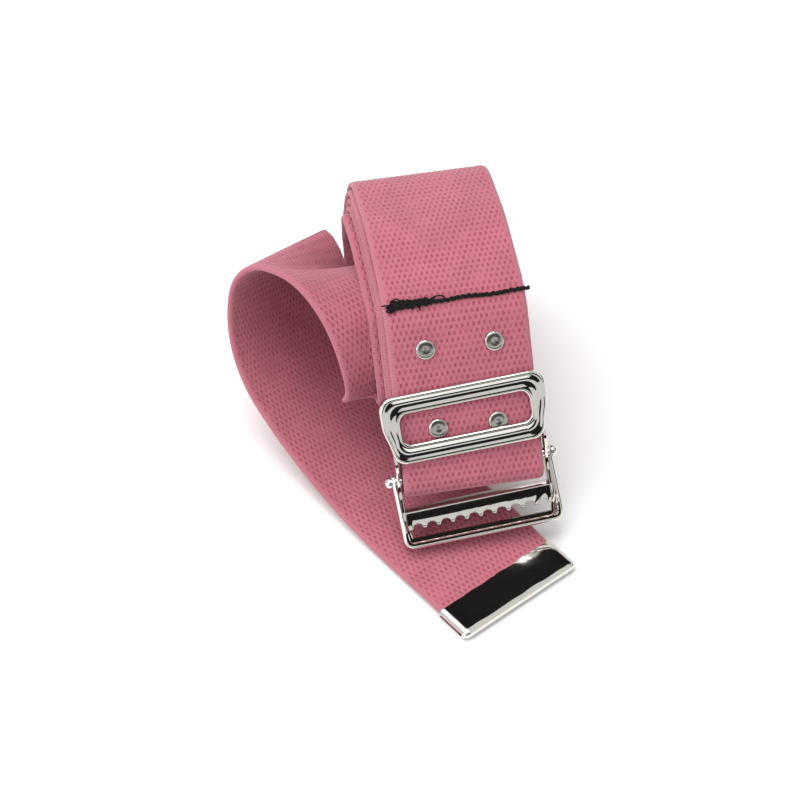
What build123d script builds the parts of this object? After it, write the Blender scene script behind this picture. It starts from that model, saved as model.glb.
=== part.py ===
"""Gait belt: a 2 in woven belt with a toothed metal buckle, rolled up and resting on its metal tip.

Axes: +X along the roll (to the right of the buckle's face), +Y from the tip towards the back of the
roll, +Z up. The origin is the middle of the metal tip's underside. Millimetres.
"""
import math
import os
from build123d import *

os.makedirs("parts", exist_ok=True)

# Webbing
WIDTH = 50.8                 # 2 in cotton webbing
THICK = 2.3
PITCH = 2.85                 # from one turn of the roll to the next
TURNS = 5

# Roll, seen from its left end: y is measured back from the fold at the buckle
ROLL_LEFT = -30.7            # x of the roll's left end
FOLD_Y = 33.2                # y of the fold at the buckle
LEG_ANGLE = 55.0             # slope of the front leg above the floor, degrees
FOLD_Z = 19.5                # underside of the fold above the floor
DOUBLED_GAP = 3.7            # room behind the outer ply for the doubled end and the rivets' backs
SHOULDER_GAP = 2.5           # the same over the front of the top, where the doubled end stops
SPLIT_AT = 56.0              # distance up the front leg where the doubled end's node stops
# corner (distance back, height, radius): shoulder, top, top back, back, heel, toe
ROLL_CORNERS = [
    (39.5, 75.9, 22.0),
    (74.5, 82.5, 60.0),
    (109.5, 78.7, 22.0),
    (121.5, 47.0, 26.0),
    (113.0, -6.8, 17.5),
    (8.1, 31.1, 18.0),
]

# Doubled end
PLY_GAP = 2.45               # between the middles of the outer ply and the doubled ply
PINCH_AT = 18.5              # distance up the leg where the two plies come together
LOOP_DEPTH = 10.6            # between the plies at the bottom of the fold
LOOP_RADIUS = 3.7
PINCH_RADIUS = 8.0
DOUBLED_TAIL = 9.0           # straight run of the doubled ply over the shoulder

# Free end: the tip's yaw and the spans that the left selvage follows from the tip into the roll
TIP_YAW = 28.8
TIP_LENGTH = 14.5
TIP_WALL = 0.6
TIP_OVERLAP = 12.0           # webbing held inside the tip
# (length, bend upwards and over in degrees, twist in degrees)
SPANS = [
    (25.7, -0.2, -3.5),
    (82.0, 27.6, 17.5),
    (45.5, 57.8, 13.9),
    (15.0, 55.6, -0.8),
    (8.1, 26.3, -19.7),
    (34.5, 57.7, 40.6),
    (20.8, 33.5, 3.8),
    (9.0, 48.0, 6.0),
]
TAIL_SPANS = 2               # spans in the tail's node; the others are the ring's
SECTION_STEP = 4.0           # between the sections of a bent or twisted run
JOIN_RUN = 36.0              # from the roll's last corner to where the ring's webbing takes over

# Buckle, measured from the pivot pin's axis along the leg (u) and out from it (n)
PIN_UP = 7.4                 # pin above the fold's underside, along the leg
PIN_RADIUS = 1.8
PIN_HEAD_RADIUS = 2.3
PIN_HEAD_LENGTH = 2.0
PIN_END_PLAY = 0.1
BUCKLE_SKEW = 3.3            # the buckle's turn on the face of the webbing, degrees
SHEET = 1.2                  # thickness of the pressed steel
EAR_INSIDE = 53.0
RUNNING = 0.06               # radial clearance on the pin
LOOP_WIDTH = 60.0
LOOP_WAIST = 55.4            # width of its lower part, between the bail's arms
WAIST_TOP = 13.0
LOOP_SHOULDER = 21.0
LOOP_TOP = 32.0
LOOP_BOTTOM = 7.0
WINDOW_WIDTH = 47.0
WINDOW_TOP = 25.2
WINDOW_BOTTOM = 14.0
LOOP_OUT = 7.5               # outer face of the slotted loop, out from the pin's axis
JAW_EDGE = 10.7              # the jaw's bent edge below the pin
TOOTH_REACH = 17.4           # the teeth's tips below the pin
TOOTH_PITCH = 5.1
TOOTH_COUNT = 11
TOOTH_NOTCH = 1.9
JAW_OUT = 3.4
JAW_DEPTH = 7.0
BAIL_WIDTH = 58.4
BAIL_REACH = 24.6
BAIL_DEPTH = 6.4
BAIL_LIP = 4.4
BAIL_LIFT = 11.6             # the bail's rest angle out of the lever's plane, lying on the free end

# Rivets: distance up the leg from the fold and offset from the webbing's middle
RIVET_PLACES = [(51.8, -12.3), (51.8, 12.3), (23.6, -10.8), (23.6, 10.8)]
CAP_RADIUS = 3.6
CAP_HEIGHT = 1.0
BACK_HEIGHT = 0.8
POST_RADIUS = 1.5
POST_HOLE = 1.55

# Seam across the doubled end
SEAM_AT = 69.0
THREAD = 0.45
TACK_LENGTH = 17.0

LEG = math.radians(LEG_ANGLE)
UP_LEG = (math.cos(LEG), math.sin(LEG))
INTO_LEG = (math.sin(LEG), -math.cos(LEG))


# ---- plane geometry of the roll, in (distance back, height) -------------------------------------
def leg_point(up, inward=0.0):
    """A point beside the outer ply's front leg."""
    back = UP_LEG[0] * up + INTO_LEG[0] * inward
    height = FOLD_Z + UP_LEG[1] * up + INTO_LEG[1] * inward
    return (back, height)


def unit(a, b):
    length = math.dist(a, b)
    return ((b[0] - a[0]) / length, (b[1] - a[1]) / length)


def shifted_line(a, b, offset):
    """The line through a and b, moved to the right of its direction."""
    d = unit(a, b)
    return ((a[0] + d[1] * offset, a[1] - d[0] * offset), d)


def crossing(first, second):
    (p, d), (q, e) = first, second
    along = ((q[0] - p[0]) * e[1] - (q[1] - p[1]) * e[0]) / (d[0] * e[1] - d[1] * e[0])
    return (p[0] + d[0] * along, p[1] + d[1] * along)


def turn_inset(side):
    """How far a side of the spiral lies inside the outer outline."""
    return PITCH * side / len(ROLL_CORNERS) + doubled_room(side)


def doubled_room(side):
    """Extra room that the inner turns leave where the outer ply is doubled."""
    turn, place = divmod(side, len(ROLL_CORNERS))
    room = {0: DOUBLED_GAP, 1: SHOULDER_GAP}
    return room.get(place, 0.0) if turn > 0 else 0.0


def roll_side(side):
    count = len(ROLL_CORNERS)
    start = ROLL_CORNERS[(side - 1) % count][:2]
    end = ROLL_CORNERS[side % count][:2]
    if side == 0:
        start = leg_point(0)
    return shifted_line(start, end, turn_inset(side))


def roll_route():
    """Corners and radii of the rolled webbing's middle, from the front leg inwards."""
    count = len(ROLL_CORNERS)
    corners = [leg_point(SPLIT_AT)]
    radii = []
    for corner in range(TURNS * count - 1):
        corners.append(crossing(roll_side(corner), roll_side(corner + 1)))
        inset = PITCH * (corner + 0.5) / count + doubled_room(corner)
        radii.append(ROLL_CORNERS[corner % count][2] - inset)
    last, direction = roll_side(TURNS * count - 1)
    end = corners[-1]
    corners.append((end[0] + direction[0] * JOIN_RUN, end[1] + direction[1] * JOIN_RUN))
    return corners, radii


def doubled_route():
    """Corners and radii of the doubled end's middle: over the shoulder, down, round the pin, up."""
    shoulder = ROLL_CORNERS[0]
    leg_line = (leg_point(0, PLY_GAP), UP_LEG)
    top_line = shifted_line(shoulder[:2], ROLL_CORNERS[1][:2], PLY_GAP + turn_inset(1))
    bend = crossing(leg_line, top_line)
    start = (bend[0] + top_line[1][0] * DOUBLED_TAIL, bend[1] + top_line[1][1] * DOUBLED_TAIL)
    corners = [
        start,
        bend,
        leg_point(PINCH_AT, PLY_GAP),
        leg_point(THICK / 2, LOOP_DEPTH),
        leg_point(THICK / 2, 0),
        leg_point(SPLIT_AT, 0),
    ]
    radii = [shoulder[2] - PLY_GAP, PINCH_RADIUS, LOOP_RADIUS, LOOP_RADIUS]
    return corners, radii


def offset_route(corners, radii, offset):
    """The same route moved to the right, with each radius changed to suit."""
    lines = [shifted_line(a, b, offset) for a, b in zip(corners, corners[1:])]
    moved = [lines[0][0]]
    new_radii = []
    for before, after, radius in zip(lines, lines[1:], radii):
        moved.append(crossing(before, after))
        cross = before[1][0] * after[1][1] - before[1][1] * after[1][0]
        new_radii.append(radius + offset * math.copysign(1.0, cross))
    end = corners[-1]
    d = lines[-1][1]
    moved.append((end[0] + d[1] * offset, end[1] - d[0] * offset))
    return moved, new_radii


def flat_strip(corners, radii, left, width):
    """Webbing of even thickness that follows a route in the roll's plane."""
    edges = []
    ends = []
    for offset in (-THICK / 2, THICK / 2):
        points, bends = offset_route(corners, radii, offset)
        path = [(FOLD_Y + y, z) for y, z in points]
        wire = FilletPolyline(*path, radius=bends)
        edges += list(wire.edges())
        ends.append((path[0], path[-1]))
    edges.append(Line(ends[0][0], ends[1][0]).edge())
    edges.append(Line(ends[0][1], ends[1][1]).edge())
    face = make_face(edges)
    solid = extrude(Plane(origin=(left, 0, 0), x_dir=(0, 1, 0), z_dir=(1, 0, 0)) * face, width)
    return solid


# ---- the free end, as frames along its left selvage -----------------------------------------------
def turned(vector, axis, angle):
    return vector.rotate(Axis((0, 0, 0), axis), math.degrees(angle))


def span_frames(point, along, across, spans):
    """Frames (point, along, across) down a run of spans, each with an even bend and twist."""
    frames = [(point, along, across)]
    for length, bend, twist in spans:
        steps = max(1, round(length / SECTION_STEP))
        step = length / steps
        for _ in range(steps):
            spin = across * math.radians(bend / length) + along * math.radians(twist / length)
            angle = spin.length * step
            if angle > 0:
                middle = turned(along, spin, angle / 2)
                along = turned(along, spin, angle)
                across = turned(across, spin, angle)
                point = point + middle * step
            else:
                point = point + along * step
            frames.append((point, along, across))
    return frames


def section(frame):
    """The webbing's cross-section at a frame."""
    point, along, across = frame
    up = across.cross(along).normalized() * (THICK / 2)
    side = across * WIDTH
    corners = [point + up, point + side + up, point + side - up, point - up]
    return Face(Wire.make_polygon(corners, close=True))


def run_of_webbing(frames):
    return loft([section(frame) for frame in frames], ruled=True)


def joined_frames(first, last, steps):
    """Frames on a smooth curve between two frames."""
    reach = (last[0] - first[0]).length
    frames = []
    for i in range(steps + 1):
        t = i / steps
        a = 2 * t**3 - 3 * t**2 + 1
        b = t**3 - 2 * t**2 + t
        c = 3 * t**2 - 2 * t**3
        d = t**3 - t**2
        point = first[0] * a + first[1] * (b * reach) + last[0] * c + last[1] * (d * reach)
        slope_a = 6 * t**2 - 6 * t
        slope_b = 3 * t**2 - 4 * t + 1
        slope_d = 3 * t**2 - 2 * t
        along = (last[0] - first[0]) * -slope_a + (first[1] * slope_b + last[1] * slope_d) * reach
        along = along.normalized()
        across = first[2] * (1 - t) + last[2] * t
        across = (across - along * across.dot(along)).normalized()
        frames.append((point, along, across))
    return frames


def free_end_frames():
    yaw = math.radians(TIP_YAW)
    across = Vector(math.cos(yaw), math.sin(yaw), 0)
    along = Vector(-math.sin(yaw), math.cos(yaw), 0)
    mouth = along * (TIP_LENGTH / 2) - across * (WIDTH / 2) + Vector(0, 0, TIP_WALL + THICK / 2)
    start = mouth - along * TIP_OVERLAP
    run_in = (TIP_OVERLAP, 0.0, 0.0)
    tail = span_frames(start, along, across, [run_in] + SPANS[:TAIL_SPANS])
    ring = span_frames(*tail[-1], SPANS[TAIL_SPANS:])
    corners, _ = roll_route()
    end, before = corners[-1], corners[-2]
    d = unit(end, before)
    last = (Vector(ROLL_LEFT, FOLD_Y + end[0], end[1]), Vector(0, d[0], d[1]), Vector(1, 0, 0))
    ring = ring[:-1] + joined_frames(ring[-1], last, 6)
    return tail, ring


# ---- buckle -----------------------------------------------------------------------------------------
def buckle_plane():
    """On the pin's middle: x along the pin, y up the leg, z out of the webbing's face."""
    loop_there = PLY_GAP + (LOOP_DEPTH - PLY_GAP) * (PINCH_AT - PIN_UP) / (PINCH_AT - THICK / 2)
    back, height = leg_point(PIN_UP, loop_there / 2)
    origin = (ROLL_LEFT + WIDTH / 2, FOLD_Y + back, height)
    up = Vector(0, *UP_LEG)
    skew = math.radians(BUCKLE_SKEW)
    x_dir = Vector(1, 0, 0) * math.cos(skew) + up * math.sin(skew)
    out = Vector(0, -INTO_LEG[0], -INTO_LEG[1])
    return Plane(origin=origin, x_dir=x_dir, z_dir=out)


def block(x0, x1, y0, y1, z0, z1):
    size = Box(x1 - x0, y1 - y0, z1 - z0)
    return Pos((x0 + x1) / 2, (y0 + y1) / 2, (z0 + z1) / 2) * size


def cross_rod(radius, x0, x1, y=0.0, z=0.0):
    rod = Cylinder(radius, x1 - x0)
    return Pos((x0 + x1) / 2, y, z) * Rot(0, 90, 0) * rod


def side_plate(outline, x0, x1):
    """A plate square to the pin, from its outline in (up, out)."""
    plane = Plane(origin=(x0, 0, 0), x_dir=(0, 1, 0), z_dir=(1, 0, 0))
    return extrude(plane * make_face(Polyline(*outline, close=True).edges()), x1 - x0)


def slotted_loop():
    width = LOOP_WIDTH / 2
    waist = LOOP_WAIST / 2
    right = [(waist, LOOP_BOTTOM), (waist, WAIST_TOP), (width, LOOP_SHOULDER), (width, LOOP_TOP)]
    left = [(-x, y) for x, y in reversed(right)]
    outline = make_face(Polyline(*right, *left, close=True).edges())
    plate = Pos(0, 0, LOOP_OUT - SHEET) * extrude(outline, SHEET)
    plate = fillet(plate.edges().filter_by(Axis.Z).group_by(Axis.Y)[-1], 4.0)
    half = WINDOW_WIDTH / 2
    window = block(-half, half, WINDOW_BOTTOM, WINDOW_TOP, 0, LOOP_OUT + 2)
    window = fillet(window.edges().filter_by(Axis.Z), 3.5)
    return plate - window


def ear_outline():
    return [
        (LOOP_BOTTOM + 6, LOOP_OUT - SHEET + 0.2),
        (LOOP_BOTTOM + 6, LOOP_OUT - SHEET - 2.6),
        (3.2, -3.0),
        (-JAW_EDGE, JAW_OUT - JAW_DEPTH),
        (-JAW_EDGE - 4.5, JAW_OUT - 2.2),
        (-JAW_EDGE - 4.5, JAW_OUT),
        (-JAW_EDGE, JAW_OUT),
        (LOOP_BOTTOM - 4, LOOP_OUT - SHEET + 0.2),
    ]


def toothed_jaw():
    half = EAR_INSIDE / 2
    face = block(-half, half, -TOOTH_REACH, -JAW_EDGE, JAW_OUT - SHEET, JAW_OUT)
    shelf = block(-half, half, -JAW_EDGE - SHEET, -JAW_EDGE, JAW_OUT - JAW_DEPTH, JAW_OUT)
    jaw = face + shelf
    for i in range(TOOTH_COUNT - 1):
        x = (i - (TOOTH_COUNT - 2) / 2) * TOOTH_PITCH
        notch = Pos(x, -TOOTH_REACH, JAW_OUT) * Cylinder(TOOTH_NOTCH, 4 * SHEET)
        jaw = jaw - notch
    return jaw


def lever_frame():
    """One pressing: slotted loop, two ears on the pin and the toothed jaw."""
    inner = EAR_INSIDE / 2
    lever = slotted_loop() + toothed_jaw()
    for x0 in (-inner - SHEET, inner):
        lever = lever + side_plate(ear_outline(), x0, x0 + SHEET)
    hole = cross_rod(PIN_RADIUS + RUNNING, -inner - 3, inner + 3)
    return lever - hole


def bail():
    """The outer U: two arms outside the ears and a channel below the teeth."""
    outer = BAIL_WIDTH / 2
    arm_half = 2.6
    arm = [
        (arm_half, -arm_half),
        (arm_half, arm_half),
        (-BAIL_REACH + 4, BAIL_LIP - 1),
        (-BAIL_REACH, BAIL_LIP - 1),
        (-BAIL_REACH, BAIL_LIP - BAIL_DEPTH),
        (-BAIL_REACH + 4, BAIL_LIP - BAIL_DEPTH),
    ]
    base = block(-outer, outer, -BAIL_REACH, -BAIL_REACH + SHEET, BAIL_LIP - BAIL_DEPTH, BAIL_LIP)
    back_lip = block(
        -outer, outer, -BAIL_REACH, -BAIL_REACH + 4.5, BAIL_LIP - BAIL_DEPTH, BAIL_LIP - BAIL_DEPTH + SHEET
    )
    frame = base + back_lip
    for x0 in (-outer, outer - SHEET):
        frame = frame + side_plate(arm, x0, x0 + SHEET)
    hole = cross_rod(PIN_RADIUS + RUNNING, -outer - 3, outer + 3)
    return frame - hole


def pivot_pin():
    outer = BAIL_WIDTH / 2 + PIN_END_PLAY
    pin = cross_rod(PIN_RADIUS, -outer, outer)
    for x0 in (-outer - PIN_HEAD_LENGTH, outer):
        head = cross_rod(PIN_HEAD_RADIUS, x0, x0 + PIN_HEAD_LENGTH)
        pin = pin + fillet(head.edges(), 0.9)
    return pin


# ---- tip, rivets and seam ------------------------------------------------------------------------
def metal_tip():
    """A folded sheet crimped over the webbing's cut end."""
    height = THICK + 2 * TIP_WALL
    outer = Pos(0, 0, height / 2) * Box(WIDTH + 2 * TIP_WALL, TIP_LENGTH, height)
    outer = fillet(outer.edges().filter_by(Axis.X), 0.9)
    slot = Pos(0, TIP_WALL, height / 2) * Box(WIDTH, TIP_LENGTH, THICK)
    return Rot(0, 0, TIP_YAW) * (outer - slot)


def leg_plane(up, sideways, inward):
    back, height = leg_point(up, inward)
    origin = (ROLL_LEFT + WIDTH / 2 + sideways, FOLD_Y + back, height)
    return Plane(origin=origin, x_dir=(1, 0, 0), z_dir=(0, -INTO_LEG[0], -INTO_LEG[1]))


def rivet_cap(up, sideways):
    """Front cap with its post, standing on the outer ply's face."""
    cap = Pos(0, 0, CAP_HEIGHT / 2) * Cylinder(CAP_RADIUS, CAP_HEIGHT)
    cap = fillet(cap.edges().sort_by(Axis.Z)[-1], 0.6)
    reach = THICK + PLY_GAP
    post = Pos(0, 0, -reach / 2) * Cylinder(POST_RADIUS, reach)
    return leg_plane(up, sideways, -THICK / 2) * (cap + post)


def rivet_back(up, sideways):
    cap = Cylinder(CAP_RADIUS, BACK_HEIGHT)
    return leg_plane(up, sideways, THICK / 2 + PLY_GAP + BACK_HEIGHT / 2) * cap


def rivet_hole(up, sideways):
    return leg_plane(up, sideways, PLY_GAP / 2) * Cylinder(POST_HOLE, 4 * THICK)


def seam_plane():
    """On the outer ply's face where the seam crosses the shoulder's bend."""
    shoulder = ROLL_CORNERS[0]
    into_top = unit(shoulder[:2], ROLL_CORNERS[1][:2])
    leg_up = unit(leg_point(0), shoulder[:2])
    turn = math.acos(leg_up[0] * into_top[0] + leg_up[1] * into_top[1])
    radius = shoulder[2]
    start = math.dist(leg_point(0), shoulder[:2]) - radius * math.tan(turn / 2)
    angle = (SEAM_AT - start) / radius
    base = math.atan2(leg_up[1], leg_up[0])
    centre = (leg_up[0] * start + leg_up[1] * radius, FOLD_Z + leg_up[1] * start - leg_up[0] * radius)
    face = radius + THICK / 2 + THREAD
    normal = (math.cos(base + math.pi / 2 - angle), math.sin(base + math.pi / 2 - angle))
    origin = (0, FOLD_Y + centre[0] + normal[0] * face, centre[1] + normal[1] * face)
    return Plane(origin=origin, x_dir=(1, 0, 0), z_dir=(0, normal[0], normal[1]))


def seam_thread():
    return seam_plane() * cross_rod(THREAD, ROLL_LEFT + TACK_LENGTH + 0.2, ROLL_LEFT + WIDTH + 1.2)


def seam_back_tack():
    """Several passes of the same thread over each other at the seam's start."""
    left = ROLL_LEFT - 0.4
    right = ROLL_LEFT + TACK_LENGTH
    tack = Pos((left + right) / 2, 0, 0.1) * Box(right - left, 3.0, 1.1)
    tack = fillet(tack.edges().filter_by(Axis.X), 0.5)
    return seam_plane() * tack


# ---- build ----------------------------------------------------------------------------------------
def build():
    doubled = flat_strip(*doubled_route(), ROLL_LEFT, WIDTH)
    for place in RIVET_PLACES:
        doubled = doubled - rivet_hole(*place)
    tail, ring = free_end_frames()
    plane = buckle_plane()
    nodes = {
        "webbing_doubled_end": doubled,
        "webbing_roll": flat_strip(*roll_route(), ROLL_LEFT, WIDTH),
        "webbing_ring": run_of_webbing(ring),
        "webbing_tail": run_of_webbing(tail),
        "metal_tip": metal_tip(),
        "lever_frame": plane * lever_frame(),
        "bail": plane * Rot(-BAIL_LIFT, 0, 0) * bail(),
        "pivot_pin": plane * pivot_pin(),
        "seam_thread": seam_thread(),
        "seam_back_tack": seam_back_tack(),
    }
    for number, place in enumerate(RIVET_PLACES, 1):
        nodes[f"rivet_cap_{number}"] = rivet_cap(*place)
        nodes[f"rivet_back_{number}"] = rivet_back(*place)
    return nodes


for name, shape in build().items():
    export_step(shape, f"parts/{name}.step")
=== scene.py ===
"""Rolled gait belt.

Adds the woven webbing, its black seam, the polished buckle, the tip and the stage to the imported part.
Lengths in the tables below are millimetres; everything is built in metres in the part's own frame:
origin under the middle of the metal tip, +X along the roll, +Y back from the tip, +Z up.
"""

import math
import random

import bmesh
import bpy
from mathutils import Matrix, Quaternion, Vector
from mathutils import noise


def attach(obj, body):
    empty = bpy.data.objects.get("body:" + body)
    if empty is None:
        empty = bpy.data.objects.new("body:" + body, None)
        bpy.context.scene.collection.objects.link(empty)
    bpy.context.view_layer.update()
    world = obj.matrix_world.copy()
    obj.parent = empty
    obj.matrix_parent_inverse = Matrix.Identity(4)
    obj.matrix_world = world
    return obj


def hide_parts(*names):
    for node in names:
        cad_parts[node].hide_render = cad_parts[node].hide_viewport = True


bl_info = {
    "name": "Rolled gait belt",
    "version": (1, 0, 0),
    "blender": (4, 5, 0),
    "location": "View3D > Sidebar > Gait Belt",
    "description": "Builds a rolled gait belt with woven webbing and a toothed buckle",
    "category": "Object",
}

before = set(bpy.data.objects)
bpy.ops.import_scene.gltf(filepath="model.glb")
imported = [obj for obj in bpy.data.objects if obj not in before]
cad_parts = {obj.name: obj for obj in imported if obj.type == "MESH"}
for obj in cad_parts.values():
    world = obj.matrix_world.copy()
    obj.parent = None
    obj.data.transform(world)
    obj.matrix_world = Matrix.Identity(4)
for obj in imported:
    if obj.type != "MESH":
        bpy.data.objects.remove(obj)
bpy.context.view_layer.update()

MM = 0.001

# Roll, in millimetres: y back from the fold at the buckle, z up
WIDTH = 50.8
THICK = 2.3
PITCH = 2.85
TURNS = 5
ROLL_LEFT = -30.7
FOLD_Y = 33.2
FOLD_Z = 19.5
LEG_ANGLE = 55.0
DOUBLED_GAP = 3.7
SHOULDER_GAP = 2.5
ROLL_CORNERS = [
    (39.5, 75.9, 22.0),
    (74.5, 82.5, 60.0),
    (109.5, 78.7, 22.0),
    (121.5, 47.0, 26.0),
    (113.0, -6.8, 17.5),
    (8.1, 31.1, 18.0),
]
PLY_GAP = 2.45
PINCH_AT = 18.5
LOOP_DEPTH = 10.6
LOOP_RADIUS = 3.7
PINCH_RADIUS = 8.0
DOUBLED_TAIL = 9.0
JOIN_RUN = 36.0

# Slip of the inner turns to the left: where along the belt it starts, the run it grows over, and its fade
SLIP_START = 240.0
SLIP_RUN = 300.0
SLIP_TURNS = 4.5
SLIP_FADE = 60.0

# Weave: pitch of the pits across and along, and one unit of the strip's own map
WEAVE_ACROSS = 2.0
WEAVE_ALONG = 2.3
MAP_UNIT = 100.0

# Free end
TIP_YAW = 28.8
TIP_LENGTH = 14.5
TIP_WALL = 0.6
TIP_OVERLAP = 12.0
SPANS = [
    (25.7, -0.2, -3.5),
    (82.0, 27.6, 17.5),
    (45.5, 57.8, 13.9),
    (15.0, 55.6, -0.8),
    (8.1, 26.3, -19.7),
    (34.5, 57.7, 40.6),
    (20.8, 33.5, 3.8),
    (9.0, 48.0, 6.0),
]

# Buckle, measured from the pin's axis
PIN_UP = 7.4
BUCKLE_SKEW = 3.3
PIN_RADIUS = 1.8
SHEET = 1.1
EAR_INSIDE = 53.0
LOOP_WIDTH = 60.0
LOOP_WAIST = 55.4
LOOP_TOP = 32.0
LOOP_BOTTOM = 7.0
LOOP_OUT = 7.5
WINDOW_WIDTH = 47.0
WINDOW_TOP = 25.2
WINDOW_BOTTOM = 14.0
JAW_EDGE = 10.7
JAW_OUT = 3.4
JAW_LEAN = 8.0
TOOTH_REACH = 17.4
TOOTH_PITCH = 5.1
TOOTH_NOTCH = 1.9
TOOTH_COUNT = 11
BAIL_WIDTH = 58.4
BAIL_REACH = 24.6
BAIL_LIFT = 11.6

# Seam across the doubled end, up the leg from the fold
SEAM_AT = 69.0

# Rivets: up the leg from the fold, and to the right of the webbing's middle
RIVET_PLACES = [(52.8, -12.5), (52.6, 12.2), (24.2, -11.0), (23.8, 10.6)]

# Pressed loop's section: share of the way from the window to the outer edge, and height
LOOP_SECTION = [
    (0.00, -1.15), (0.00, -0.55), (0.03, -0.15), (0.09, 0.08), (0.17, 0.08), (0.26, -0.12), (0.38, -0.42),
    (0.52, -0.50), (0.66, -0.36), (0.77, -0.06), (0.86, 0.06), (0.93, -0.08), (0.98, -0.5), (1.00, -1.2),
    (1.00, -1.9), (0.90, -1.9), (0.88, -1.2), (0.82, -0.86), (0.70, -1.05), (0.52, -1.3), (0.34, -1.15),
    (0.20, -0.85), (0.13, -0.9), (0.12, -1.15),
]

# Bail's channel: inward from its outer face, and height
BAIL_SECTION = [
    (0.0, -1.5), (0.0, 0.5), (0.0, 2.4), (0.05, 3.6), (0.4, 4.15), (1.0, 4.4), (1.9, 4.4), (2.2, 4.1),
    (1.9, 3.75), (1.3, 3.6), (1.1, 3.2), (1.1, 1.2), (1.1, -0.4), (1.5, -0.85), (3.6, -0.9), (3.9, -1.2),
    (3.6, -1.7), (1.4, -2.0), (0.5, -1.95),
]

LEG = math.radians(LEG_ANGLE)
UP_LEG = (math.cos(LEG), math.sin(LEG))
INTO_LEG = (math.sin(LEG), -math.cos(LEG))


# ---- the belt's route --------------------------------------------------------------------------
def leg_point(up, inward=0.0):
    back = UP_LEG[0] * up + INTO_LEG[0] * inward
    return (back, FOLD_Z + UP_LEG[1] * up + INTO_LEG[1] * inward)


def unit(a, b):
    length = math.dist(a, b)
    return ((b[0] - a[0]) / length, (b[1] - a[1]) / length)


def shifted_line(a, b, offset):
    d = unit(a, b)
    return ((a[0] + d[1] * offset, a[1] - d[0] * offset), d)


def crossing(first, second):
    (p, d), (q, e) = first, second
    along = ((q[0] - p[0]) * e[1] - (q[1] - p[1]) * e[0]) / (d[0] * e[1] - d[1] * e[0])
    return (p[0] + d[0] * along, p[1] + d[1] * along)


def doubled_room(side):
    turn, place = divmod(side, len(ROLL_CORNERS))
    room = {0: DOUBLED_GAP, 1: SHOULDER_GAP}
    return room.get(place, 0.0) if turn > 0 else 0.0


def turn_inset(side):
    return PITCH * side / len(ROLL_CORNERS) + doubled_room(side)


def roll_side(side):
    count = len(ROLL_CORNERS)
    start = leg_point(0) if side == 0 else ROLL_CORNERS[(side - 1) % count][:2]
    return shifted_line(start, ROLL_CORNERS[side % count][:2], turn_inset(side))


def flat_route():
    """Corners and radii of the whole plane run: doubled end, fold, front leg and five turns."""
    shoulder = ROLL_CORNERS[0]
    top_line = shifted_line(shoulder[:2], ROLL_CORNERS[1][:2], PLY_GAP + turn_inset(1))
    bend = crossing((leg_point(0, PLY_GAP), UP_LEG), top_line)
    start = (bend[0] + top_line[1][0] * DOUBLED_TAIL, bend[1] + top_line[1][1] * DOUBLED_TAIL)
    corners = [
        start,
        bend,
        leg_point(PINCH_AT, PLY_GAP),
        leg_point(THICK / 2, LOOP_DEPTH),
        leg_point(THICK / 2, 0),
    ]
    radii = [shoulder[2] - PLY_GAP, PINCH_RADIUS, LOOP_RADIUS, LOOP_RADIUS]
    count = len(ROLL_CORNERS)
    for corner in range(TURNS * count - 1):
        corners.append(crossing(roll_side(corner), roll_side(corner + 1)))
        inset = PITCH * (corner + 0.5) / count + doubled_room(corner)
        radii.append(ROLL_CORNERS[corner % count][2] - inset)
    _, direction = roll_side(TURNS * count - 1)
    end = corners[-1]
    corners.append((end[0] + direction[0] * JOIN_RUN, end[1] + direction[1] * JOIN_RUN))
    return corners, radii


def rounded(corners, radii, step=0.8):
    """Points and headings along straight runs joined by arcs."""
    points = [corners[0]]
    for i, radius in enumerate(radii, 1):
        here = corners[i]
        back = unit(here, corners[i - 1])
        ahead = unit(here, corners[i + 1])
        half = math.acos(max(-1.0, min(1.0, back[0] * ahead[0] + back[1] * ahead[1]))) / 2
        reach = radius / math.tan(half)
        middle = (back[0] + ahead[0], back[1] + ahead[1])
        size = math.hypot(*middle)
        away = radius / math.sin(half)
        centre = (here[0] + middle[0] / size * away, here[1] + middle[1] / size * away)
        a = (here[0] + back[0] * reach - centre[0], here[1] + back[1] * reach - centre[1])
        b = (here[0] + ahead[0] * reach - centre[0], here[1] + ahead[1] * reach - centre[1])
        sweep = math.atan2(a[0] * b[1] - a[1] * b[0], a[0] * b[0] + a[1] * b[1])
        steps = max(4, int(abs(sweep) * radius / step))
        for k in range(steps + 1):
            turn = sweep * k / steps
            c, s = math.cos(turn), math.sin(turn)
            points.append((centre[0] + a[0] * c - a[1] * s, centre[1] + a[0] * s + a[1] * c))
    points.append(corners[-1])
    return points


def span_frames(point, along, across, spans):
    """Frames (left selvage, heading, width direction) down spans of even bend and twist."""
    frames = [(point, along, across)]
    for length, bend, twist in spans:
        steps = max(1, round(length / 1.0))
        step = length / steps
        for _ in range(steps):
            spin = across * math.radians(bend / length) + along * math.radians(twist / length)
            angle = spin.length * step
            if angle > 1e-9:
                half = Quaternion(spin, angle / 2)
                full = Quaternion(spin, angle)
                point = point + (half @ along) * step
                along = full @ along
                across = full @ across
            else:
                point = point + along * step
            frames.append((point.copy(), along.copy(), across.copy()))
    return frames


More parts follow.
